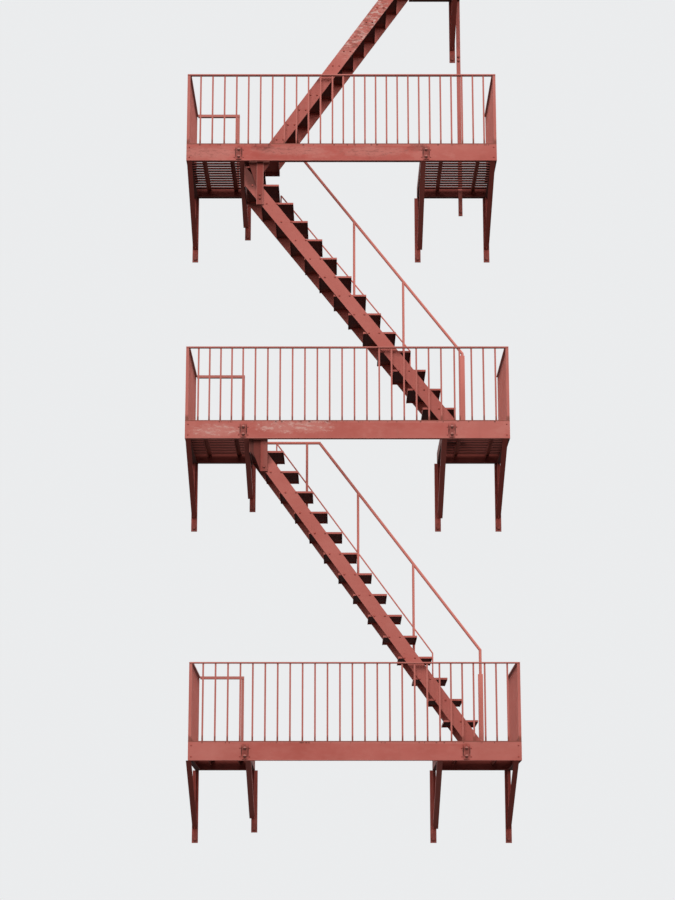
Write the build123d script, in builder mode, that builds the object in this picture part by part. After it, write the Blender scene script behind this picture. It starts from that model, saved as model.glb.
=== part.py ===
from build123d import *
from dataclasses import dataclass
from math import atan, atan2, cos, sin
import os

# A steel fire escape stair that hangs on a wall: three long landings, each floored only in its two end bays,
# a short platform above them, and three flights of open stair between.
#
# The wall is the plane Y = 0 and the stair stands in front of it, towards -Y. X runs along the wall, Z is up.
# The origin lies on the wall beside the left end bracket of the lowest landing, level with the underside
# of that landing's ledger.

# Landings, as seen from the front. Storeys differ a little, as hung by hand.
landing_depth = 1100.0
beam_height = 170.0
beam_flange = 50.0
beam_steel = 8.0
ledger_height = 110.0
ledger_flange = 60.0
ledger_steel = 8.0
cross_beam_height = 110.0
cross_beam_flange = 45.0
cross_beam_steel = 7.0
clip_width = 55.0
clip_steel = 10.0
clip_lift = 12.0
clip_height = 138.0
clip_bolt_heights = (38.0, 112.0)
clip_bolt_across = 28.0
clip_bolt_head = 9.0

# Slatted floor.
floor_height = 100.0
slat_width = 38.0
slat_thickness = 10.0
slat_pitch = 70.0
slat_end_clearance = 1.0
joist_leg = 40.0
joist_steel = 5.0
joists_per_bay = 2

# Railings of flat and square bar.
rail_height = 918.0
rail_width = 38.0
rail_thickness = 12.0
sill_bar_thickness = 10.0
baluster_size = 16.0
corner_post_size = 28.0
end_baluster_pitch = 110.0
return_post_size = 26.0
return_rail_thickness = 26.0

# Wall brackets: struts of tee under the ends of the landings, of angle under their inner beams.
strut_depth = 50.0
strut_flange = 50.0
strut_steel = 6.0
strut_top_inset = 20.0
wall_leg_width = 60.0
wall_leg_steel = 8.0
wall_leg_rib = 50.0
end_bracket_drop = 700.0
foot_hole_radius = 9.0
foot_hole_height = 35.0
strut_foot_height = 135.0

# Flights.
stringer_depth = 125.0
stringer_steel = 10.0
stringer_setback = 65.0
flight_width = 520.0
tread_lip = 20.0
tread_end_lip = 18.0
tread_steel = 5.0
tread_clearance = 3.0
head_plate_steel = 8.0
head_plate_margin = 15.0

# Hangers of the flight heads.
strap_width = 68.0
strap_steel = 16.0
gusset_steel = 8.0
strap_overlap = 15.0
hanger_seat = 52.0

# Handrails of pipe, on the wall side of the flights.
pipe_radius = 14.0
pipe_clearance = 1.0
rail_pad = 34.0
rail_pad_lap = 6.0
post_radius = 12.0
post_foot_width = 34.0
post_foot_height = 100.0
lower_rail_radius = 7.0
lower_rail_above_edge = 320.0
newel_size = 45.0

# Footing of the upper flight and the tie bar on the wall.
footing_steel = 8.0
footing_reach = 330.0
footing_edge = 50.0
tie_width = 42.0
tie_steel = 8.0
tie_drop = 195.0
tie_notch_gap = 2.0


@dataclass
class Landing:
    """One landing: where it stands on the wall and how far its two floored bays reach.

    The front balusters come in runs: how many gaps each run has, and how wide its gaps are beside the others.
    """

    name: str
    level: float
    left: float
    right: float
    left_bay: float
    right_bay: float
    inner_drop: float
    right_clip: float
    return_rail: float
    bracket_insets: tuple
    baluster_counts: tuple
    baluster_shares: tuple

    @property
    def floor(self):
        return self.level + floor_height

    @property
    def left_inner(self):
        return self.left + self.left_bay

    @property
    def right_inner(self):
        return self.right - self.right_bay


@dataclass
class Gusset:
    """Plates beside a hanger strap: how far they reach at the top, and where their edges taper."""

    left: float
    right: float
    taper_start: float
    left_taper_end: float
    right_taper_end: float


@dataclass
class Flight:
    """One flight of stair.

    Its foot is where the stringers' upper edge meets the lower floor. The head height is that of the same
    edge at the head plate, from the upper landing's level. The treads go by their own line, as they were
    bolted on: the first drop and run are those from the upper floor and the head plate to the highest
    tread's front edge, the last ones those from the lowest tread's front edge to the lower floor and foot.
    """

    name: str
    bottom: Landing
    top: Landing
    climbs: int
    foot: float
    head_height: float
    treads: int
    first_drop: float
    last_drop: float
    first_run: float
    last_run: float
    tread_depth: float
    strap: float | None
    gusset: Gusset | None

    @property
    def beam_face(self):
        """Face of the inner beam that the head of the flight comes up to."""
        return self.top.left_inner if self.climbs < 0 else self.top.right_inner

    @property
    def head(self):
        """Face of the head plate, where the stringers end."""
        return self.beam_face - self.climbs * head_plate_steel

    @property
    def length(self):
        """From foot to head, along the wall."""
        return abs(self.head - self.foot)

    @property
    def pitch(self):
        return (self.top.level + self.head_height - self.bottom.floor) / self.length

    @property
    def rise(self):
        """Height from one tread to the next."""
        between = self.top.floor - self.first_drop - self.last_drop - self.bottom.floor
        return between / (self.treads - 1)

    @property
    def run(self):
        """Distance along the wall from one tread to the next."""
        return (self.length - self.first_run - self.last_run) / (self.treads - 1)

    @property
    def horizontal_width(self):
        return stringer_depth / sin(atan(self.pitch))

    def edge_z(self, x):
        """Height of the stringers' upper edge at x."""
        return self.bottom.floor + (x - self.foot) * self.climbs * self.pitch

    def under_edge_z(self, x):
        """Height of the stringers' lower edge at x."""
        return self.edge_z(x) - self.horizontal_width * self.pitch

    def nosing(self, number):
        """Place of a tread's front edge, counted from the highest tread: along the wall and upward."""
        return (
            self.head - self.climbs * (self.first_run + number * self.run),
            self.top.floor - self.first_drop - number * self.rise,
        )


@dataclass
class Handrail:
    """One pipe rail: where it starts, where it turns down the flight, its newel and its posts.

    The newel stands its reach beyond the foot of the flight. The foot height is that of the pipe's last
    turn, down into the newel. The thin rail below the pipe is given by its two ends.
    """

    flight: Flight
    start: float
    height: float
    bend: float | None
    foot_height: float
    newel_reach: float
    newel_height: float
    thin_rail: tuple
    posts: tuple

    @property
    def newel(self):
        return self.flight.foot - self.flight.climbs * self.newel_reach


lower = Landing(
    name="lower",
    level=0.0,
    left=-42.0,
    right=3064.0,
    left_bay=585.0,
    right_bay=785.0,
    inner_drop=600.0,
    right_clip=2550.0,
    return_rail=470.0,
    bracket_insets=(6.0, 50.0),
    baluster_counts=(20, 7),
    baluster_shares=(1.1, 1.0),
)
middle = Landing(
    name="middle",
    level=3079.0,
    left=-120.0,
    right=3011.0,
    left_bay=618.0,
    right_bay=655.0,
    inner_drop=500.0,
    right_clip=2453.0,
    return_rail=525.0,
    bracket_insets=(30.0, 45.0),
    baluster_counts=(5, 16, 1, 1, 4),
    baluster_shares=(0.9, 1.0, 1.07, 0.42, 0.965),
)
upper = Landing(
    name="upper",
    level=5915.0,
    left=-151.0,
    right=2932.0,
    left_bay=575.0,
    right_bay=755.0,
    inner_drop=460.0,
    right_clip=2230.0,
    return_rail=475.0,
    bracket_insets=(30.0, 40.0),
    baluster_counts=(12, 15),
    baluster_shares=(1.11, 1.0),
)
long_landings = [lower, middle, upper]
top = Landing(
    name="top",
    level=8130.0,
    left=2110.0,
    right=2650.0,
    left_bay=0.0,
    right_bay=540.0,
    inner_drop=0.0,
    right_clip=2165.0,
    return_rail=0.0,
    bracket_insets=(0.0, 85.0),
    baluster_counts=(5,),
    baluster_shares=(1.0,),
)

lower_flight = Flight(
    name="lower",
    bottom=lower,
    top=middle,
    climbs=-1,
    foot=2755.0,
    head_height=102.13,
    treads=14,
    first_drop=207.0,
    last_drop=281.1,
    first_run=325.0,
    last_run=88.4,
    tread_depth=320.0,
    strap=643.0,
    gusset=Gusset(left=68.0, right=0.0, taper_start=128.0, left_taper_end=315.0, right_taper_end=315.0),
)
middle_flight = Flight(
    name="middle",
    bottom=middle,
    top=upper,
    climbs=-1,
    foot=2567.0,
    head_height=-37.36,
    treads=14,
    first_drop=135.0,
    last_drop=223.2,
    first_run=192.0,
    last_run=71.0,
    tread_depth=320.0,
    strap=581.0,
    gusset=Gusset(left=75.0, right=60.0, taper_start=20.0, left_taper_end=260.0, right_taper_end=100.0),
)
upper_flight = Flight(
    name="upper",
    bottom=upper,
    top=top,
    climbs=1,
    foot=592.0,
    head_height=14.1,
    treads=13,
    first_drop=158.0,
    last_drop=158.6,
    first_run=60.0,
    last_run=106.0,
    tread_depth=140.0,
    strap=None,
    gusset=None,
)
flights = [lower_flight, middle_flight, upper_flight]

lower_handrail = Handrail(
    flight=lower_flight,
    start=middle.left_inner + head_plate_steel,
    height=95.0,
    bend=1173.0,
    foot_height=1014.0,
    newel_reach=-25.0,
    newel_height=780.0,
    thin_rail=(749.0, 2270.0),
    posts=(1049.0, 1552.0, 2089.0),
)
middle_handrail = Handrail(
    flight=middle_flight,
    start=860.0,
    height=418.0,
    bend=None,
    foot_height=914.0,
    newel_reach=30.0,
    newel_height=890.0,
    thin_rail=(776.0, 2075.0),
    posts=(1518.0, 2011.0),
)

front = -landing_depth
stringer_near = front + stringer_setback
stringer_far = stringer_near + flight_width
tie_span = (top.right - tie_width, top.right)
rail_plane = stringer_far + pipe_radius + pipe_clearance

os.makedirs("parts", exist_ok=True)


def save(builder, name):
    """Label a finished piece and write it."""
    builder.part.label = name
    export_step(builder.part, f"parts/{name}.step")


def block(x, y, z):
    """A plain bar between two corners, each given as (low, high) along its axis."""
    middle_point = Location(((x[0] + x[1]) / 2, (y[0] + y[1]) / 2, (z[0] + z[1]) / 2))
    with Locations(middle_point):
        Box(x[1] - x[0], y[1] - y[0], z[1] - z[0])


def front_beam(landing):
    """Channel with its smooth web to the front, and the bolted clips on its face.

    The bolts of each clip are modelled as hexagon heads.
    """
    low, high = landing.level, landing.level + beam_height
    clips = [landing.right_clip]
    if landing.left_bay:
        clips.append(landing.left_inner - clip_width)
    with BuildPart() as beam:
        block((landing.left, landing.right), (front, front + beam_steel), (low, high))
        block((landing.left, landing.right), (front, front + beam_flange), (low, low + beam_steel))
        block((landing.left, landing.right), (front, front + beam_flange), (high - beam_steel, high))
        clip_z = (low + clip_lift, low + clip_lift + clip_height)
        for clip in clips:
            block((clip - clip_width / 2, clip + clip_width / 2), (front - clip_steel, front), clip_z)
        bolts = [(clip, low + rise) for clip in clips for rise in clip_bolt_heights]
        with BuildSketch(Plane.XZ.offset(clip_steel - front)):
            with Locations(*bolts):
                RegularPolygon(clip_bolt_across / 2, side_count=6, major_radius=False)
        extrude(amount=clip_bolt_head)
    save(beam, f"{landing.name}_front_beam")


def span(start, length):
    """The two ends of a length laid off from a start, the lower one first."""
    return tuple(sorted((start, start + length)))


def bays(landing):
    """The floored bays of a landing, as pairs: the outer end and the inner face of each."""
    right = (landing.right, landing.right_inner)
    if landing.left_bay:
        return [(landing.left, landing.left_inner), right]
    return [right]


def frames(landing):
    """End beam, inner cross beam and wall ledger of each floored bay, behind the front beam."""
    low = landing.level
    beam_y = (front + beam_flange, 0)
    with BuildPart() as group:
        for end, inner in bays(landing):
            outward = 1 if end > inner else -1
            end_flange = span(end, -outward * beam_flange)
            block(span(end, -outward * beam_steel), beam_y, (low, low + beam_height))
            block(end_flange, beam_y, (low, low + beam_steel))
            block(end_flange, beam_y, (low + beam_height - beam_steel, low + beam_height))
            inner_flange = span(inner, outward * cross_beam_flange)
            block(span(inner, outward * cross_beam_steel), beam_y, (low, low + cross_beam_height))
            block(inner_flange, beam_y, (low, low + cross_beam_steel))
            ledger = span(inner, end - inner)
            block(ledger, (-ledger_steel, 0), (low, low + ledger_height))
            block(ledger, (-ledger_flange, 0), (low, low + ledger_steel))
        if landing is upper:
            notch = Location((sum(tie_span) / 2, -ledger_flange / 2 - ledger_steel, low))
            with Locations(notch):
                Box(tie_width + 2 * tie_notch_gap, ledger_flange, 2 * ledger_steel, mode=Mode.SUBTRACT)
    save(group, f"{landing.name}_frames")


def decks(landing):
    """Slats laid along the wall on joists of angle, in each floored bay."""
    depth = landing_depth - beam_steel - ledger_steel
    slats = int((depth - slat_width) // slat_pitch) + 1
    first = front + beam_steel + (depth - (slats - 1) * slat_pitch) / 2
    slat_low = landing.floor - slat_thickness
    joist_y = (front + beam_steel, -ledger_steel)
    with BuildPart() as group:
        for end, inner in bays(landing):
            outward = 1 if end > inner else -1
            inner_end = inner + outward * (cross_beam_steel + slat_end_clearance)
            outer_end = end - outward * (beam_steel + slat_end_clearance)
            low_x, high_x = sorted((inner_end, outer_end))
            joist_gap = (high_x - low_x) / joists_per_bay
            for joist in range(joists_per_bay):
                x = low_x + (joist + 0.5) * joist_gap
                block((x, x + joist_leg), joist_y, (slat_low - joist_steel, slat_low))
                block((x, x + joist_steel), joist_y, (slat_low - joist_leg, slat_low))
            slat_x = (low_x + high_x) / 2
            slat_z = landing.floor - slat_thickness / 2
            with Locations(*[(slat_x, first + slat * slat_pitch, slat_z) for slat in range(slats)]):
                Box(high_x - low_x, slat_width, slat_thickness)
    save(group, f"{landing.name}_decks")


def front_railing(landing):
    """Top rail, sill bar on the beam, square balusters and a stouter post at each end."""
    sill = landing.level + beam_height
    rail = landing.level + rail_height
    upright = (sill + sill_bar_thickness, rail - rail_thickness)
    y = (front, front + rail_width)
    post_centre = front + rail_width / 2
    runs = zip(landing.baluster_counts, landing.baluster_shares)
    gaps = [share for count, share in runs for _ in range(count)]
    unit = (landing.right - landing.left - corner_post_size) / sum(gaps)
    first = landing.left + corner_post_size / 2
    places = [first + sum(gaps[:number]) * unit for number in range(len(gaps) + 1)]
    with BuildPart() as railing:
        block((landing.left, landing.right), y, (sill, sill + sill_bar_thickness))
        block((landing.left, landing.right), y, (rail - rail_thickness, rail))
        height = upright[1] - upright[0]
        centre_z = sum(upright) / 2
        with Locations(*[(x, post_centre, centre_z) for x in (places[0], places[-1])]):
            Box(corner_post_size, corner_post_size, height)
        with Locations(*[(x, post_centre, centre_z) for x in places[1:-1]]):
            Box(baluster_size, baluster_size, height)
    save(railing, f"{landing.name}_front_railing")


def end_railing(landing, side, end):
    """Railing across one end of the landing, from the front railing to a stouter post at the wall."""
    inward = 1 if side == "left" else -1
    sill = landing.level + beam_height
    rail = landing.level + rail_height
    start = front + rail_width
    centre = end + inward * corner_post_size / 2
    x = span(end, inward * rail_width)
    balusters = int((0 - start - corner_post_size) // end_baluster_pitch)
    gap = (0 - start - corner_post_size / 2) / (balusters + 1)
    with BuildPart() as railing:
        block(x, (start, 0), (sill, sill + sill_bar_thickness))
        block(x, (start, 0), (rail - rail_thickness, rail))
        height = rail - rail_thickness - sill - sill_bar_thickness
        centre_z = sill + sill_bar_thickness + height / 2
        with Locations(*[(centre, start + number * gap, centre_z) for number in range(1, balusters + 1)]):
            Box(baluster_size, baluster_size, height)
        with Locations((centre, -corner_post_size / 2, centre_z)):
            Box(corner_post_size, corner_post_size, height)
    save(railing, f"{landing.name}_{side}_railing")


def return_rail(landing):
    """Plain rail that goes on from the left end railing along the wall, on one post off the ledger."""
    rail = landing.level + rail_height
    tip = landing.left + landing.return_rail
    post_y = -rail_width / 2
    with BuildPart() as group:
        block((landing.left + rail_width, tip), (-rail_width, 0), (rail - return_rail_thickness, rail))
        block(
            (tip - return_post_size, tip),
            (post_y - return_post_size / 2, post_y + return_post_size / 2),
            (landing.level + ledger_height, rail - return_rail_thickness),
        )
    save(group, f"{landing.name}_return_rail")


def bracket(drop, flange_start):
    """Wall leg with a bolt hole at its foot, and a raking strut up to the front beam.

    The strut's stem is in the middle. Its flange starts at flange_start, which makes it a tee or an angle.
    """
    strut_low = (-wall_leg_steel, strut_foot_height - drop)
    strut_high = (front + strut_top_inset, 0)
    rake = atan2(strut_high[1] - strut_low[1], strut_low[0] - strut_high[0])
    with BuildPart() as one:
        block((-wall_leg_width / 2, wall_leg_width / 2), (-wall_leg_steel, 0), (-drop, 0))
        rib = (-strut_steel / 2, strut_steel / 2)
        block(rib, (-wall_leg_rib, -wall_leg_steel), (strut_foot_height - drop, 0))
        stem = (rib[0], strut_depth, strut_steel)
        flange = (flange_start, strut_steel, strut_flange)
        for start, depth, width in (stem, flange):
            with BuildSketch(Plane.YZ.offset(start)):
                with BuildLine():
                    Polyline(
                        strut_low,
                        (strut_low[0], strut_low[1] + depth / cos(rake)),
                        (strut_high[0] + depth / sin(rake), strut_high[1]),
                        strut_high,
                        close=True,
                    )
                make_face()
            extrude(amount=width)
        with Locations(Location((0, -wall_leg_steel / 2, foot_hole_height - drop), (90, 0, 0))):
            Cylinder(foot_hole_radius, 2 * wall_leg_steel, mode=Mode.SUBTRACT)
    return one.part


def brackets(landing):
    """Tee brackets under the two end beams, and angle brackets under the inner ones, flanges outward."""
    tee = bracket(end_bracket_drop, -strut_flange / 2)
    left_angle = bracket(landing.inner_drop, strut_steel / 2 - strut_flange)
    right_angle = bracket(end_bracket_drop, -strut_steel / 2)
    left_inset, right_inset = landing.bracket_insets
    with BuildPart() as group:
        with Locations(
            (landing.left + left_inset, 0, landing.level),
            (landing.right - right_inset, 0, landing.level),
        ):
            add(tee)
        with Locations((landing.left_inner - strut_steel / 2, 0, landing.level)):
            add(left_angle)
        with Locations((landing.right_inner + strut_steel / 2, 0, landing.level)):
            add(right_angle)
    save(group, f"{landing.name}_brackets")


def stringers(flight):
    """Two flat stringers, cut level on the lower floor and upright at the head plate."""
    under_foot = flight.foot + flight.climbs * flight.horizontal_width
    outline = [
        (flight.foot, flight.bottom.floor),
        (under_foot, flight.bottom.floor),
        (flight.head, flight.under_edge_z(flight.head)),
        (flight.head, flight.edge_z(flight.head)),
    ]
    with BuildPart() as pair:
        for y in (stringer_near + stringer_steel, stringer_far):
            with BuildSketch(Plane.XZ.offset(-y)):
                with BuildLine():
                    Polyline(*outline, close=True)
                make_face()
            extrude(amount=stringer_steel)
    save(pair, f"{flight.name}_stringers")


def tread_pan(depth):
    """Folded plate with its top face at height zero, lipped at front and back and shallowly at its ends."""
    half = depth / 2
    end = flight_width / 2 - stringer_steel
    with BuildPart() as pan:
        block((-half, half), (-end, end), (-tread_steel, 0))
        for side in (-1, 1):
            lip_x = span(side * half, -side * tread_steel)
            block(lip_x, (-end, end), (-tread_lip, 0))
            lip_y = span(side * end, -side * tread_steel)
            block((-half, half), lip_y, (-tread_end_lip, 0))
    return pan.part


def treads(flight):
    """Pan treads between the stringers. Those that would reach the head plate stop short of it."""
    centre_y = (stringer_near + stringer_far) / 2
    whole = tread_pan(flight.tread_depth)
    with BuildPart() as group:
        for number in range(flight.treads):
            x, z = flight.nosing(number)
            room = abs(x - flight.head) - tread_clearance
            depth = min(flight.tread_depth, room)
            with Locations((x + flight.climbs * depth / 2, centre_y, z)):
                add(whole if depth == flight.tread_depth else tread_pan(depth))
    save(group, f"{flight.name}_treads")


def hanger(flight):
    """Head plate on the inner beam and, where the beam carries the near stringer too, a strap and gusset."""
    level = flight.top.level
    plate = span(flight.beam_face, -flight.climbs * head_plate_steel)
    plate_foot = flight.under_edge_z(flight.head) - head_plate_margin
    with BuildPart() as group:
        block(plate, (stringer_near, stringer_far), (plate_foot, level + cross_beam_height))
        if flight.strap:
            strap = (flight.strap - strap_width / 2, flight.strap + strap_width / 2)
            strap_foot = flight.under_edge_z(flight.strap) - strap_overlap
            block(strap, (stringer_near - strap_steel, stringer_near), (strap_foot, level))
            gusset = flight.gusset
            wide = (strap[0] - gusset.left, strap[1] + gusset.right)
            with BuildSketch(Plane.XZ.offset(-stringer_near)):
                with BuildLine():
                    Polyline(
                        (wide[0], level),
                        (wide[0], level - gusset.taper_start),
                        (strap[0], level - gusset.left_taper_end),
                        (strap[1], level - gusset.right_taper_end),
                        (wide[1], level - gusset.taper_start),
                        (wide[1], level),
                        close=True,
                    )
                make_face()
            extrude(amount=gusset_steel)
            block(wide, (stringer_near - hanger_seat, stringer_near), (level - gusset_steel, level))
    save(group, f"{flight.name}_flight_hanger")


def handrail(rail):
    """Pipe rail on posts, with a thin rail below it and a square newel at the foot.

    The posts and the two ends of the thin rail stand against the outer face of the far stringer.
    """
    flight = rail.flight
    start_z = flight.top.level + rail.height
    slope_start = rail.bend or rail.start
    foot_z = flight.bottom.floor + rail.foot_height
    newel_top = flight.bottom.floor + rail.newel_height
    rail_slope = (start_z - foot_z) / (rail.newel - slope_start)
    corners = sorted({rail.start, slope_start})
    points = [(x, rail_plane, start_z) for x in corners]
    points += [(rail.newel, rail_plane, foot_z), (rail.newel, rail_plane, newel_top)]
    with BuildPart() as group:
        with BuildLine() as path:
            Polyline(*points)
        with BuildSketch(Plane(path.line @ 0, z_dir=path.line % 0)):
            Circle(pipe_radius)
        sweep(transition=Transition.RIGHT)
        thin_ends = [(x, rail_plane, flight.edge_z(x) + lower_rail_above_edge) for x in rail.thin_rail]
        with BuildLine() as thin_path:
            Line(*thin_ends)
        with BuildSketch(Plane(thin_path.line @ 0, z_dir=thin_path.line % 0)):
            Circle(lower_rail_radius)
        sweep()
        newel = (rail.newel - newel_size / 2, rail.newel + newel_size / 2)
        block(newel, (stringer_far, stringer_far + newel_size), (flight.bottom.floor, newel_top))
        if not rail.bend:
            pad_x = span(rail.start + rail_pad_lap, -rail_pad)
            pad_z = (start_z - pipe_radius, start_z + pipe_radius)
            block(pad_x, (stringer_far, rail_plane), pad_z)
        for x in (*rail.thin_rail, *rail.posts):
            z_low = flight.edge_z(x) - post_foot_height
            z_top = start_z - max(0, x - slope_start) * rail_slope
            radius = post_radius
            if x in rail.thin_rail:
                z_top = flight.edge_z(x) + lower_rail_above_edge
                radius = lower_rail_radius
            with Locations((x, rail_plane, (z_top + z_low) / 2)):
                Cylinder(radius, z_top - z_low)
            foot_x = (x - post_foot_width / 2, x + post_foot_width / 2)
            block(foot_x, (stringer_far, rail_plane), (z_low, z_low + post_foot_height))
    save(group, f"{flight.name}_handrail")


def flight_footing(flight):
    """Plate beside the left bay that the upper flight stands on, with its two open edges turned down."""
    landing = flight.bottom
    start = landing.left_inner + head_plate_steel
    end = start + footing_reach
    inside = front + beam_steel
    top_z = landing.floor
    with BuildPart() as footing:
        block((start, end), (inside, stringer_far), (top_z - footing_steel, top_z))
        block((end - footing_steel, end), (inside, stringer_far), (top_z - footing_edge, top_z))
        block((start, end), (stringer_far - footing_steel, stringer_far), (top_z - footing_edge, top_z))
    save(footing, f"{flight.name}_flight_footing")


def wall_tie():
    """Flat bar down the wall from the end beam of the top platform, with a bolt hole at its foot."""
    foot = upper.level - tie_drop
    face = -ledger_steel
    foot_z = (foot, foot + 2 * foot_hole_height)
    head_z = (top.level - 2 * foot_hole_height, top.level)
    with BuildPart() as tie:
        block(tie_span, (face - tie_steel, face), (foot, top.level))
        block(tie_span, (face, 0), foot_z)
        block(tie_span, (face, 0), head_z)
        with Locations(Location((sum(tie_span) / 2, face, foot + foot_hole_height), (90, 0, 0))):
            Cylinder(foot_hole_radius, 4 * tie_steel, mode=Mode.SUBTRACT)
    save(tie, "wall_tie")


for landing in long_landings:
    front_beam(landing)
    frames(landing)
    decks(landing)
    front_railing(landing)
    end_railing(landing, "left", landing.left)
    end_railing(landing, "right", landing.right)
    return_rail(landing)
    brackets(landing)

front_beam(top)
frames(top)
decks(top)
front_railing(top)
end_railing(top, "right", top.right)
end_bracket = bracket(end_bracket_drop, -strut_flange / 2)
with BuildPart() as top_bracket:
    with Locations((top.right - top.bracket_insets[1], 0, top.level)):
        add(end_bracket)
save(top_bracket, "top_bracket")

for flight in flights:
    stringers(flight)
    treads(flight)
    hanger(flight)
handrail(lower_handrail)
handrail(middle_handrail)
flight_footing(upper_flight)
wall_tie()
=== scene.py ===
from math import atan, cos, pi, radians, sin

import bmesh
import bpy
from mathutils import Matrix, Vector


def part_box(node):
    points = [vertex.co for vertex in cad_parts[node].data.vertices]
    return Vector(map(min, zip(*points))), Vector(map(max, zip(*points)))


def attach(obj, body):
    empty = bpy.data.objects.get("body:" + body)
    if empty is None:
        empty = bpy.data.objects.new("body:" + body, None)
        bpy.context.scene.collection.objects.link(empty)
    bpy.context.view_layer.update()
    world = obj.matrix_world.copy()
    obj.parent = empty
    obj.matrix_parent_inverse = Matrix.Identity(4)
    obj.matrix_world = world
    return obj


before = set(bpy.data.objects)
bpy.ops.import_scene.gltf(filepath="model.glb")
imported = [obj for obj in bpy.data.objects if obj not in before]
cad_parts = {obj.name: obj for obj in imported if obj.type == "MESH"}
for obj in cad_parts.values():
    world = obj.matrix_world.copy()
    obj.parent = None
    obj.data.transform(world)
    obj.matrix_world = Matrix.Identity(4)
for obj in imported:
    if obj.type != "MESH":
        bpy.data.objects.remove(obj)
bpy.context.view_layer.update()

# The viewpoint of the photograph: low down and a little over 20 m off, looking up at the landings through
# a long lens, so that the three of them come out nearly the same width.
lens = bpy.data.cameras.new("street_view")
lens.lens = 86.0
lens.sensor_width = 36.0
lens.clip_end = 1200.0
viewpoint = bpy.data.objects.new("street_view", lens)
viewpoint.location = (1.350, -21.2, -1.789)
viewpoint.rotation_euler = (radians(103.3), 0.0, 0.0)
bpy.context.scene.collection.objects.link(viewpoint)
bpy.context.scene.camera = viewpoint


# Front beams. Rolled steel channels with the smooth web to the front and a bolted clip plate over each
# inner beam. The sun has faded their brick-red oil paint. Where old coats let go, a chalky grey-pink
# undercoat shows, and dirty water has run down round the clips. Dark dabs run along the top edge, under
# the sill bar.
class Value:
    """A node's output, with arithmetic on it."""

    def __init__(self, socket, tree):
        self.socket = socket
        self.tree = tree

    def math(self, operation, *others, clamp=False):
        settings = {"operation": operation, "use_clamp": clamp}
        return make(self.tree, "ShaderNodeMath", settings, ordered=(self, *others))

    def __add__(self, other):
        return self.math("ADD", other)

    __radd__ = __add__

    def __mul__(self, other):
        return self.math("MULTIPLY", other)

    __rmul__ = __mul__

    def __sub__(self, other):
        return self.math("SUBTRACT", other)

    def __rsub__(self, other):
        return self.math("MULTIPLY", -1.0).math("ADD", other)

    def clamped(self):
        return self.math("ADD", 0.0, clamp=True)

    def step(self, start, end):
        """0 below start, 1 above end, smooth between."""
        return make(self.tree, "ShaderNodeMapRange", {"interpolation_type": "SMOOTHSTEP"}, Value=self,
                    **{"From Min": start, "From Max": end})


def connect(tree, given, socket):
    """Lead a value into a socket, or set the socket to a plain number, colour or vector."""
    if isinstance(given, Value):
        tree.links.new(given.socket, socket)
    else:
        socket.default_value = given


def make(tree, kind, settings=None, output=0, ordered=(), **named):
    """Any node, from its type, its settings, and what its sockets get in their order or by name."""
    node = tree.nodes.new(kind)
    for name, setting in (settings or {}).items():
        setattr(node, name, setting)
    for place, given in [*enumerate(ordered), *named.items()]:
        connect(tree, given, node.inputs[place])
    return Value(node.outputs[output], tree)


def blend(tree, factor, under, over):
    """The colour under, covered by the colour over as far as factor says."""
    return make(tree, "ShaderNodeMix", {"data_type": "RGBA"}, output="Result",
                Factor=factor, A=under, B=over)


def place_of(tree, stretch=(1.0, 1.0, 1.0), turn=(0.0, 0.0, 0.0)):
    """The place on the stair, in metres, stretched or turned for the patterns that run one way."""
    here = make(tree, "ShaderNodeTexCoord", output="Object")
    return make(tree, "ShaderNodeMapping", Vector=here, Scale=stretch, Rotation=turn)


def along(tree, axis):
    """The place on the stair along one axis, in metres."""
    return make(tree, "ShaderNodeSeparateXYZ", output=axis, Vector=place_of(tree))


def upwardness(tree):
    """How far the surface faces up: 1 on top, 0 on upright faces, -1 on undersides."""
    facing = make(tree, "ShaderNodeNewGeometry", output="Normal")
    return make(tree, "ShaderNodeSeparateXYZ", output="Z", Vector=facing)


def speckle(tree, scale, detail=5.0, stretch=(1.0, 1.0, 1.0), roughness=0.6, turn=(0.0, 0.0, 0.0)):
    """Cloudy patches between 0 and 1, about as many to the metre as scale says."""
    place = place_of(tree, stretch, turn)
    return make(tree, "ShaderNodeTexNoise", Vector=place, Scale=scale, Detail=detail,
                Roughness=roughness)


def stain(tree, spots, across, up, raggedness=2.2):
    """Where something has gathered round each spot, given as (x, z), with a ragged edge."""
    x = along(tree, "X")
    z = along(tree, "Z")
    grain = speckle(tree, 42.0, detail=8.0, stretch=(0.6, 1.0, 1.0), roughness=0.75)
    ragged = (grain - 0.5) * raggedness
    reached = None
    for spot_x, spot_z in spots:
        sideways = (x - spot_x) * (1.0 / across)
        upward = (z - spot_z) * (1.0 / up)
        near = 1.0 - (sideways * sideways + upward * upward + ragged).step(0.2, 1.1)
        reached = near if reached is None else reached.math("MAXIMUM", near)
    return reached


def flakes(tree, scale=22.0, turn=(0.0, 0.0, 0.0)):
    """Small sharp-edged places where a coat has let go, longer than they are high."""
    grain = speckle(tree, scale, detail=9.0, stretch=(0.45, 1.0, 1.4), roughness=0.78, turn=turn)
    return grain.step(0.505, 0.575)


def mark(material, factor, colour):
    """Lay one more colour over a finished paint, as far as factor says."""
    tree = material.node_tree
    surface = tree.nodes["Principled BSDF"]
    painted = Value(surface.inputs["Base Color"].links[0].from_socket, tree)
    connect(tree, blend(tree, factor, painted, colour), surface.inputs["Base Color"])


faded_red = (0.455, 0.097, 0.076, 1.0)
fresh_red = (0.375, 0.060, 0.043, 1.0)
chalk_and_highlight = (0.54, 0.205, 0.168, 1.0)
bared = (0.62, 0.40, 0.35, 1.0)
grime_and_shade = (0.058, 0.013, 0.008, 1.0)
soot_and_shade = (0.026, 0.008, 0.005, 1.0)
rust = (0.115, 0.027, 0.012, 1.0)


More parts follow.
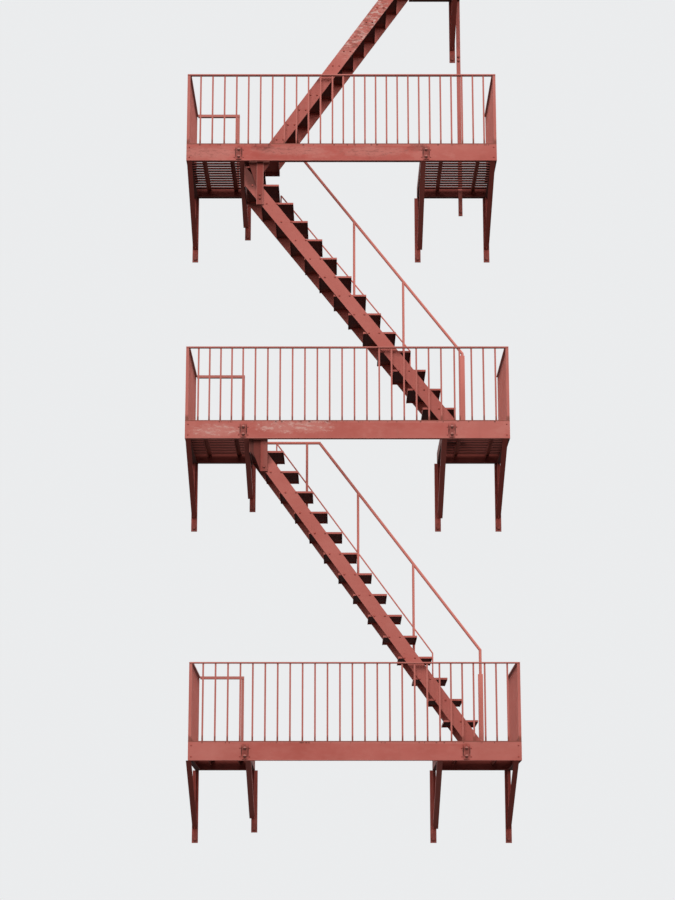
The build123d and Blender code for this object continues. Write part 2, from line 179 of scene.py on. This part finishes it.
def red_paint(name, chalked=0.0, grimed=0.3, rusted=0.3, soot_and_shade_below=0.75, streaks=0.3, deep=0.0):
    """Old red oil paint on steel. Each number, from 0 to 1, says how far that kind of wear has gone on this
    piece: deep is how much of the darker, unfaded red it has kept, and the number for undersides how black
    they are, sooty where rain never washes and darkened with painted shade. Hollows are darkened with dirt
    and painted shade, and sharp rims lightened with wear and a painted highlight."""
    material = bpy.data.materials.new(name)
    material.use_nodes = True
    tree = material.node_tree
    surface = tree.nodes["Principled BSDF"]
    upward = upwardness(tree)
    below = (upward * -1.0).step(0.12, 0.85)
    above = upward.step(0.35, 0.95)

    broad = speckle(tree, 1.7, detail=4.0)
    brushed = speckle(tree, 26.0, detail=6.0, stretch=(0.35, 1.0, 1.0))
    fine = speckle(tree, 210.0, detail=3.0)
    paint = blend(tree, broad.step(0.35, 0.68), fresh_red, faded_red)
    paint = blend(tree, brushed.step(0.42, 0.72) * 0.16, paint, chalk_and_highlight)
    if deep:
        paint = blend(tree, deep, paint, fresh_red)

    lifting = speckle(tree, 5.2, detail=8.0, stretch=(0.8, 1.0, 1.5), roughness=0.68)
    peeled = (lifting + broad * 0.35).step(0.70, 0.86)
    paint = blend(tree, peeled * chalked, paint, chalk_and_highlight)

    run = speckle(tree, 13.0, stretch=(1.0, 1.0, 0.09), roughness=0.62).step(0.56, 0.80)
    paint = blend(tree, run * streaks, paint, rust)
    dirt = (speckle(tree, 7.0, detail=7.0, roughness=0.66) * 0.7 + fine * 0.3).step(0.52, 0.76)
    paint = blend(tree, (dirt * grimed + above * 0.22).clamped(), paint, grime_and_shade)

    pitted = (speckle(tree, 58.0, detail=6.0, roughness=0.7) * 0.75 + broad * 0.3).step(0.62, 0.74)
    paint = blend(tree, pitted * rusted, paint, rust)
    # Sharp edges turn paler, with worn paint and a painted highlight.
    edge_wear_and_highlight = make(tree, "ShaderNodeNewGeometry", output="Pointiness").step(0.53, 0.62)
    paint = blend(tree, edge_wear_and_highlight * 0.35, paint, chalk_and_highlight)
    # Hollows, corners and the gaps between parts darken, with dirt and painted shade.
    openness = make(tree, "ShaderNodeAmbientOcclusion", {"samples": 6}, output="AO", Distance=0.045)
    corner_grime_and_shade = (1.0 - openness + fine * 0.2).step(0.42, 0.95)
    paint = blend(tree, corner_grime_and_shade * 0.75, paint, grime_and_shade)
    # Undersides go black, with soot and painted shade.
    paint = blend(tree, (below * soot_and_shade_below).clamped(), paint, soot_and_shade)
    connect(tree, paint, surface.inputs["Base Color"])

    dullness = (0.62 + pitted * 0.25 + peeled * (0.2 * chalked) + below * 0.15).clamped()
    connect(tree, dullness, surface.inputs["Roughness"])
    relief = brushed * 0.4 + fine * 0.15 - pitted * (0.5 * rusted) - peeled * (0.3 * chalked)
    bump = make(tree, "ShaderNodeBump", Height=relief, Strength=0.22, Distance=0.003)
    connect(tree, bump, surface.inputs["Normal"])
    surface.inputs["Specular IOR Level"].default_value = 0.18
    return material


def finish_node(name, material):
    """Give a finish to a part of the frame."""
    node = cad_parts[name]
    node.data.materials.clear()
    node.data.materials.append(material)


landings = ("lower", "middle", "upper")
platforms = (*landings, "top")
beam_wear = {"lower": (0.10, 0.12), "middle": (0.35, 0.16), "upper": (0.40, 0.30), "top": (0.3, 0.3)}
beam_height = 0.170
clip_x = {"lower": (0.488, 2.550), "middle": (0.443, 2.453), "upper": (0.369, 2.230), "top": (2.165,)}
clip_width = 0.055
clip_front = -1.110
clip_bolt_heights = (0.038, 0.112)
for landing, (chalked, grimed) in beam_wear.items():
    beam_paint = red_paint(f"{landing}_beam_paint", chalked, grimed, rusted=0.18, streaks=0.18)
    tree = beam_paint.node_tree
    beam_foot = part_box(f"{landing}_front_beam")[0].z
    half_up = beam_foot + beam_height / 2
    if landing in ("lower", "middle"):
        mark(beam_paint, 0.16, chalk_and_highlight)
    if landing == "middle":
        scraped_at = ((0.16, half_up - 0.01), (0.80, half_up + 0.03), (1.08, half_up + 0.03))
        scraped = stain(tree, scraped_at, across=0.26, up=0.070, raggedness=4.0)
        mark(beam_paint, scraped * 0.55, chalk_and_highlight)
        mark(beam_paint, scraped * flakes(tree) * 0.55, bared)
    if landing == "upper":
        dulled_at = ((0.88, half_up + 0.02), (1.70, half_up + 0.01), (0.02, half_up))
        dulled = stain(tree, dulled_at, across=0.40, up=0.060)
        mark(beam_paint, dulled * 0.45, chalk_and_highlight)
        mark(beam_paint, dulled * flakes(tree, 30.0) * 0.35, grime_and_shade)
        dirty_at = ((0.62, half_up + 0.05), (2.15, half_up + 0.05))
        dirt_and_shade = stain(tree, dirty_at, across=0.13, up=0.040, raggedness=5.0)
        mark(beam_paint, dirt_and_shade * (0.25 + flakes(tree, 34.0) * 0.4), grime_and_shade)

    round_clips = [(x, half_up - 0.008) for x in clip_x[landing]]
    mark(beam_paint, stain(tree, round_clips, across=0.036, up=0.085) * 0.5, grime_and_shade)
    clip_edge = clip_width / 2 + 0.003
    clip_sides = [(x + side * clip_edge, half_up) for x in clip_x[landing] for side in (-1, 1)]
    mark(beam_paint, stain(tree, clip_sides, across=0.006, up=0.062, raggedness=0.6) * 0.8, soot_and_shade)

    # The clips' bolt heads are darkened with dirt and painted shade, and their upper halves are lightened
    # again with a painted highlight.
    on_bolt = 1.0 - along(tree, "Y").step(clip_front - 0.0025, clip_front - 0.0015)
    mark(beam_paint, on_bolt * 0.8, grime_and_shade)
    level = along(tree, "Z")
    for bolt_height in clip_bolt_heights:
        centre = beam_foot + bolt_height
        top = centre + 0.018
        lit_upper_half = level.step(centre, centre + 0.004) * (1.0 - level.step(top - 0.001, top + 0.001))
        mark(beam_paint, on_bolt * lit_upper_half * 0.85, chalk_and_highlight)

    # A dark, patchy band runs along the beam's top edge, under the sill bar.
    top_edge = level.step(half_up + 0.066, half_up + 0.080)
    dark_dabs = speckle(tree, 30.0, detail=4.0, stretch=(1.0, 1.0, 0.1)).step(0.55, 0.64)
    mark(beam_paint, top_edge * dark_dabs * 0.7, soot_and_shade)
    finish_node(f"{landing}_front_beam", beam_paint)


# Rivets of the front beams. Round heads of soft steel, hammered over hot and painted with the beam: four
# round each clip plate and two at each end of the beam.
facing_out = Vector((0.0, -1.0, 0.0)).to_track_quat("Z", "Y").to_matrix()


def turned(mesh, seat, profile, sides, start=0.0):
    """The sides of a rivet or bolt head that faces out, from its radius and height at each ring. Gives back
    the last ring, which is still open."""
    rings = []
    for radius, height in profile:
        angles = [start + step * 2 * pi / sides for step in range(sides)]
        points = [Vector((radius * cos(angle), radius * sin(angle), height)) for angle in angles]
        rings.append([mesh.verts.new(Vector(seat) + facing_out @ point) for point in points])
    for low, high in zip(rings, rings[1:]):
        for side in range(sides):
            after = (side + 1) % sides
            mesh.faces.new((low[side], low[after], high[after], high[side]))
    return rings[-1]


def rivet_head(mesh, seat, radius, height):
    """A hammered rivet head: a low round cap that stands on the plate."""
    cap = ((1.0, 0.0), (0.97, 0.30), (0.80, 0.68), (0.48, 0.93))
    rim_highlight = turned(mesh, seat, [(radius * width, height * rise) for width, rise in cap], sides=14)
    crown = mesh.verts.new(Vector(seat) + facing_out @ Vector((0.0, 0.0, height)))
    for side, corner in enumerate(rim_highlight):
        mesh.faces.new((corner, rim_highlight[(side + 1) % len(rim_highlight)], crown))


def piece(name, mesh, material, smooth=True):
    """Turn a finished mesh into a piece that is fixed to the stair."""
    bmesh.ops.recalc_face_normals(mesh, faces=mesh.faces)
    data = bpy.data.meshes.new(name)
    mesh.to_mesh(data)
    mesh.free()
    for face in data.polygons:
        face.use_smooth = smooth
    made = bpy.data.objects.new(name, data)
    bpy.context.scene.collection.objects.link(made)
    data.materials.append(material)
    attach(made, "root")


rivet_paint = red_paint("rivet_paint", grimed=0.75, rusted=0.8, streaks=0.5)
beam_face = -1.100
clip_rivet_offset = clip_width / 2 + 0.017
clip_rivet_heights = (0.035, 0.113)
end_rivet_inset = 0.030
end_rivet_heights = (0.035, 0.140)
for landing, clips in clip_x.items():
    low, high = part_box(f"{landing}_front_beam")
    rivets = bmesh.new()
    for clip in clips:
        for side in (-1, 1):
            for height in clip_rivet_heights:
                seat = (clip + side * clip_rivet_offset, beam_face, low.z + height)
                rivet_head(rivets, seat, radius=0.0075, height=0.0055)
    for x in (low.x + end_rivet_inset, high.x - end_rivet_inset):
        for height in end_rivet_heights:
            rivet_head(rivets, (x, beam_face, low.z + height), radius=0.0080, height=0.0060)
    piece(f"{landing}_beam_rivets", rivets, rivet_paint)


# Bay frames. Rolled channels across the ends of each floored bay, bolted to the front beam, and an angle
# along the back that the floor rests on. They hang under the floor, in a deeper, less faded red with sooty
# undersides, and painted shade darkens them all over, most of all towards the back.
frame_paint = red_paint("frame_paint", grimed=0.6, rusted=0.5, soot_and_shade_below=0.88, deep=0.8)
# Painted shade over the whole frame, and more towards the back.
mark(frame_paint, 0.48, grime_and_shade)
shade_towards_back = along(frame_paint.node_tree, "Y").step(-0.30, -0.10)
mark(frame_paint, shade_towards_back * 0.18, soot_and_shade)
for landing in platforms:
    finish_node(f"{landing}_frames", frame_paint)


# Decks. Flat bars laid on two joists of angle, open between for rain and snow. Nobody has scraped them in
# years: soot and rust cover the bars, and painted shade darkens them further, most of all on the near-black
# undersides. The joists are a redder brown.
joist_brown = (0.27, 0.060, 0.040, 1.0)
slat_thickness = 0.010
deck_paints = {}
for landing in platforms:
    paint = red_paint(f"{landing}_deck_paint", grimed=0.8, rusted=0.85, soot_and_shade_below=0.97, streaks=0.1,
                      deep=0.7)
    # Painted shade over the whole deck, with soot.
    mark(paint, 0.55, soot_and_shade)
    tree = paint.node_tree
    joist_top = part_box(f"{landing}_decks")[1].z - slat_thickness
    on_joist = 1.0 - along(tree, "Z").step(joist_top - 0.0015, joist_top - 0.0005)
    mark(paint, on_joist * (0.45 + speckle(tree, 19.0) * 0.6).clamped(), joist_brown)
    finish_node(f"{landing}_decks", paint)
    deck_paints[landing] = paint


# Railings. Square bars riveted into a flat top rail and a sill bar, with a stouter post at each corner.
# Their paint has gone pale and chalky, and water that stands at the feet of the bars rusts them.
sill_bar_thickness = 0.010
for landing in platforms:
    paint = red_paint(f"{landing}_railing_paint", chalked=0.1, grimed=0.2, rusted=0.25, streaks=0.2)
    tree = paint.node_tree
    sill_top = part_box(f"{landing}_front_railing")[0].z + sill_bar_thickness
    level = along(tree, "Z")
    near_foot = 1.0 - (level + speckle(tree, 21.0) * -0.05).step(sill_top, sill_top + 0.035)
    not_lower = level.step(sill_top - 0.03, sill_top - 0.02)
    mark(paint, 0.45, chalk_and_highlight)
    mark(paint, near_foot * not_lower * 0.6, rust)
    railings = [f"{landing}_front_railing", f"{landing}_right_railing"]
    if landing in landings:
        railings += [f"{landing}_left_railing", f"{landing}_return_rail"]
    for name in railings:
        finish_node(name, paint)


# Brackets. A flat leg with a bolt through its foot, and a raking strut that carries the front beam: a tee
# under each end of the landing, an angle under each inner beam. Rain drips on them from the decks, so they
# are dark and rusty.
feet = {
    "lower": ((-0.036, -0.700), (0.540, -0.600), (2.282, -0.700), (3.014, -0.700)),
    "middle": ((-0.090, -0.700), (0.495, -0.500), (2.359, -0.700), (2.966, -0.700)),
    "upper": ((-0.121, -0.700), (0.421, -0.460), (2.180, -0.700), (2.892, -0.700)),
    "top": ((2.565, -0.700),),
}
beam_underside = {landing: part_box(f"{landing}_front_beam")[0].z for landing in feet}
foot_bolt_height = 0.035
for landing, places in feet.items():
    bracket_paint = red_paint(f"{landing}_bracket_paint", grimed=0.4, rusted=0.45, soot_and_shade_below=0.36,
                              streaks=0.4, deep=0.9)
    mark(bracket_paint, 0.18, grime_and_shade)
    over_bolt = foot_bolt_height + 0.010
    stained = [(x, beam_underside[landing] + drop + over_bolt) for x, drop in places]
    mark(bracket_paint, stain(bracket_paint.node_tree, stained, across=0.045, up=0.060) * 0.25, soot_and_shade)
    node = "top_bracket" if landing == "top" else f"{landing}_brackets"
    finish_node(node, bracket_paint)


def hex_bolt(mesh, seat, across, height, spin):
    """A six-sided bolt head with its outer edge rounded off, on a round washer."""
    washer = ((0.78, 0.0), (0.78, 0.16), (0.78 * 0.93, 0.22))
    head = ((0.58, 0.18), (0.58, 0.86), (0.47, 1.0))
    for outline, sides, start in ((washer, 18, 0.0), (head, 6, spin)):
        profile = [(across * width, height * rise) for width, rise in outline]
        mesh.faces.new(turned(mesh, seat, profile, sides, start))


foot_bolt_paint = red_paint("foot_bolt_paint", grimed=0.7, rusted=0.9, streaks=0.6, deep=0.6)
mark(foot_bolt_paint, 0.35, soot_and_shade)
leg_face = -0.008
for landing, places in feet.items():
    bolts = bmesh.new()
    for number, (x, drop) in enumerate(places):
        seat = (x, leg_face, beam_underside[landing] + drop + foot_bolt_height)
        hex_bolt(bolts, seat, across=0.026, height=0.015, spin=0.4 * number)
    piece(f"{landing}_foot_bolts", bolts, foot_bolt_paint, smooth=False)


# Stringers of the flights. Flat bars on edge, cut level at the floor and upright at the head. Their near
# faces are the cleanest of the stair, darkened only at the heads under the landings, with painted shade. On
# the near face of the upper flight the coats come off in long flakes.
near_face = -1.035
stringer_wear = {"lower": (0.10, 0.14), "middle": (0.12, 0.18), "upper": (0.45, 0.30)}
shaded_heads = {"lower": (0.600, 3.000), "middle": (0.520, 5.830)}
upper_slope = 1.41
down_the_flight = (0.0, atan(upper_slope), 0.0)
for flight, (chalked, grimed) in stringer_wear.items():
    paint = red_paint(f"{flight}_stringer_paint", chalked, grimed, rusted=0.22, soot_and_shade_below=0.9,
                      streaks=0.12, deep=0.35)
    tree = paint.node_tree
    pocks = speckle(tree, 95.0, detail=4.0, roughness=0.5).step(0.66, 0.71)
    pocked = pocks * speckle(tree, 2.3).step(0.40, 0.62)
    mark(paint, pocked * 0.75, rust)
    if flight in shaded_heads:
        # Painted shade under the landing darkens the head of the flight.
        dirt_and_shade = stain(tree, (shaded_heads[flight],), across=0.17, up=0.24, raggedness=0.8)
        mark(paint, dirt_and_shade * 0.85, grime_and_shade)
    if flight == "upper":
        on_near_face = 1.0 - along(tree, "Y").step(near_face + 0.005, near_face + 0.015)
        flaking_at = ((1.50, 7.30), (1.68, 7.55))
        flaking = stain(tree, flaking_at, across=0.24, up=0.28, raggedness=4.0) * on_near_face
        mark(paint, flakes(tree, 27.0, down_the_flight) * flaking * 0.85, bared)
        mark(paint, flakes(tree, 39.0, down_the_flight) * flaking * 0.55, rust)
    finish_node(f"{flight}_stringers", paint)


# Treads. Pans folded from plate, bolted between the stringers through their end lips, with two round heads
# showing on the near stringer for each. They are dirty on top, and black below with soot and painted shade,
# with a redder rust towards the back.
underside_rust = (0.20, 0.035, 0.022, 1.0)
tread_paint = red_paint("tread_paint", grimed=0.5, rusted=0.5, soot_and_shade_below=0.90, streaks=0.1, deep=0.45)
tree = tread_paint.node_tree
toward_back = along(tree, "Y").step(-0.72, -0.56)
facing_down = (upwardness(tree) * -1.0).step(0.5, 0.9)
patchy = speckle(tree, 6.0, detail=6.0).step(0.40, 0.62)
mark(tread_paint, facing_down * toward_back * patchy * 0.55, underside_rust)
for flight in landings:
    finish_node(f"{flight}_treads", tread_paint)

# For each flight: where the highest tread's front edge is and its top, which way along X the flight climbs,
# how many treads it has, the rise and run from one to the next, and how far back its bolts are.
tread_rows = {
    "lower": (0.831, 2.972, -1, 14, 0.1993, 0.1412, (0.162, 0.262)),
    "middle": (0.624, 5.880, -1, 14, 0.1906, 0.144, (0.162, 0.262)),
    "upper": (2.042, 8.072, 1, 13, 0.1582, 0.112, (0.045, 0.110)),
}
bolt_below_top = 0.013
stringer_end_margin = 0.02
for flight, (edge, top, climbs, count, rise, run, backs) in tread_rows.items():
    low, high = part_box(f"{flight}_stringers")
    bolts = bmesh.new()
    for number in range(count):
        for back in backs:
            x = edge - climbs * number * run + climbs * back
            z = top - number * rise - bolt_below_top
            if low.x + stringer_end_margin < x < high.x - stringer_end_margin:
                rivet_head(bolts, (x, near_face, z), radius=0.0095, height=0.0070)
    piece(f"{flight}_tread_bolts", bolts, rivet_paint)


# Hangers of the flight heads. A strap and gusset cut from plate hold the near stringer to the floor frame,
# and a head plate is bolted to the inner beam. One bolt shows at the foot of the lower strap and two at the
# foot of the middle one, whose edges carry a painted highlight. Painted shade from the landings above
# darkens the hangers, the gussets behind the straps most. The upper flight has its head plate alone.
strap_face = -1.051
strap_x = {"lower": 0.643, "middle": 0.581}
strap_width = 0.068
strap_bolt_heights = {"lower": (0.045,), "middle": (0.064, 0.104)}
hanger_paint = red_paint("hanger_paint", chalked=0.1, grimed=0.35, rusted=0.35, soot_and_shade_below=0.9,
                         streaks=0.35, deep=0.8)
tree = hanger_paint.node_tree
behind_strap = along(tree, "Y").step(strap_face + 0.002, strap_face + 0.004)
# Painted shade: darker all over, and darker still behind the strap.
mark(hanger_paint, 0.38 + behind_strap * 0.30, grime_and_shade)
# A painted highlight runs along both edges of the middle strap.
off_centre = (along(tree, "X") - strap_x["middle"]).math("ABSOLUTE")
rim_highlight = off_centre.step(strap_width / 2 - 0.007, strap_width / 2 - 0.003)
above_lower_hanger = along(tree, "Z").step(5.0, 5.1)
mark(hanger_paint, rim_highlight * (1.0 - behind_strap) * above_lower_hanger * 0.55, chalk_and_highlight)
for flight in landings:
    finish_node(f"{flight}_flight_hanger", hanger_paint)

for flight, heights in strap_bolt_heights.items():
    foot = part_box(f"{flight}_flight_hanger")[0].z
    bolts = bmesh.new()
    for height in heights:
        seat = (strap_x[flight], strap_face, foot + height)
        hex_bolt(bolts, seat, across=0.020, height=0.011, spin=height * 9)
    piece(f"{flight}_strap_bolts", bolts, foot_bolt_paint, smooth=False)


# Handrails. Gas pipe on posts along the back of the two lower flights, with a thin rod halfway down and a
# square newel at the foot. Their paint is lightened to a pale red all over, a painted sheen and light
# thrown back onto the pipe, and holds little dirt.
sheen_red = (0.66, 0.215, 0.170, 1.0)
handrail_paint = red_paint("handrail_paint", chalked=0.2, grimed=0.05, rusted=0.05, soot_and_shade_below=0.08,
                           streaks=0.05)
# Painted sheen: a pale red laid over the whole pipe.
mark(handrail_paint, 0.85, sheen_red)
for flight in ("lower", "middle"):
    finish_node(f"{flight}_handrail", handrail_paint)


# Footing of the upper flight. A plate beside the left bay of the upper landing with its open edges turned
# down, for the two stringers to stand on. It is as brown as the joists, so it takes the top deck's paint,
# which is that brown at all heights below its own joists.
finish_node("upper_flight_footing", deck_paints["top"])


# Tie. A flat bar that runs down from the end beam of the short top platform, bolted at its foot below the
# upper landing and by two more bolts, close together, higher up.
tie_paint = red_paint("tie_paint", chalked=0.15, grimed=0.35, rusted=0.35, streaks=0.35)
finish_node("wall_tie", tie_paint)
tie_low, tie_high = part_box("wall_tie")
tie_middle = (tie_low.x + tie_high.x) / 2
upper_tie_bolts = (7.445, 7.490)
tie_bolts = bmesh.new()
for z in (tie_low.z + foot_bolt_height, *upper_tie_bolts):
    hex_bolt(tie_bolts, (tie_middle, tie_low.y, z), across=0.018, height=0.011, spin=z)
piece("tie_bolts", tie_bolts, foot_bolt_paint, smooth=False)


# The studio: a plain pale floor below the lowest bracket, and soft light from a large lamp high in front
# and a weaker one from the right. The floor is as pale as it looks for the eye alone, and the background
# for the eye and in gloss. Both light the stair less than that.
floor_reach = 500.0
floor_level = -3.39
floor_mesh = bmesh.new()
bmesh.ops.create_grid(floor_mesh, x_segments=1, y_segments=1, size=floor_reach)
floor_data = bpy.data.meshes.new("floor")
floor_mesh.to_mesh(floor_data)
floor_mesh.free()
floor_data.transform(Matrix.Translation((1.4, -2.0, floor_level)))
floor = bpy.data.objects.new("floor", floor_data)
bpy.context.scene.collection.objects.link(floor)

lit_floor = (0.20, 0.20, 0.20, 1.0)
pale_floor = (0.57, 0.57, 0.565, 1.0)
floor_material = bpy.data.materials.new("pale_floor")
floor_material.use_nodes = True
floor_tree = floor_material.node_tree
floor_surface = floor_tree.nodes["Principled BSDF"]
floor_surface.inputs["Roughness"].default_value = 0.9
seen_by_eye = make(floor_tree, "ShaderNodeLightPath", output="Is Camera Ray")
floor_colour = blend(floor_tree, seen_by_eye, lit_floor, pale_floor)
connect(floor_tree, floor_colour, floor_surface.inputs["Base Color"])
floor_data.materials.append(floor_material)

world = bpy.data.worlds.new("studio")
bpy.context.scene.world = world
world.use_nodes = True
sky = world.node_tree
sky.nodes.remove(sky.nodes["Background"])
direction = make(sky, "ShaderNodeTexCoord", output="Generated")
skyward = make(sky, "ShaderNodeSeparateXYZ", output="Z", Vector=direction)
glow = skyward.step(-0.45, 0.40) * 0.68 + 0.06
lit = make(sky, "ShaderNodeBackground", Color=(0.97, 0.985, 1.0, 1.0), Strength=glow)
seen = make(sky, "ShaderNodeBackground", Color=(0.83, 0.84, 0.85, 1.0), Strength=1.0)
rays = [make(sky, "ShaderNodeLightPath", output=name)
        for name in ("Is Camera Ray", "Is Glossy Ray", "Is Transmission Ray")]
seen_directly = (rays[0] + rays[1] + rays[2]).clamped()
backdrop = make(sky, "ShaderNodeMixShader", ordered=(seen_directly, lit, seen))
connect(sky, backdrop, sky.nodes["World Output"].inputs["Surface"])

stair_middle = Vector((1.4, -0.6, 4.0))
for name, place, size, power in (
    ("sky_lamp", (-4.0, -36.0, 30.0), 26.0, 11200.0),
    ("side_lamp", (26.0, -20.0, 14.0), 16.0, 2200.0),
):
    lamp = bpy.data.lights.new(name, "AREA")
    lamp.size = size
    lamp.energy = power
    lamp_object = bpy.data.objects.new(name, lamp)
    lamp_object.location = place
    lamp_object.rotation_euler = (stair_middle - Vector(place)).to_track_quat("-Z", "Y").to_euler()
    bpy.context.scene.collection.objects.link(lamp_object)

bpy.context.scene.view_settings.view_transform = "Standard"
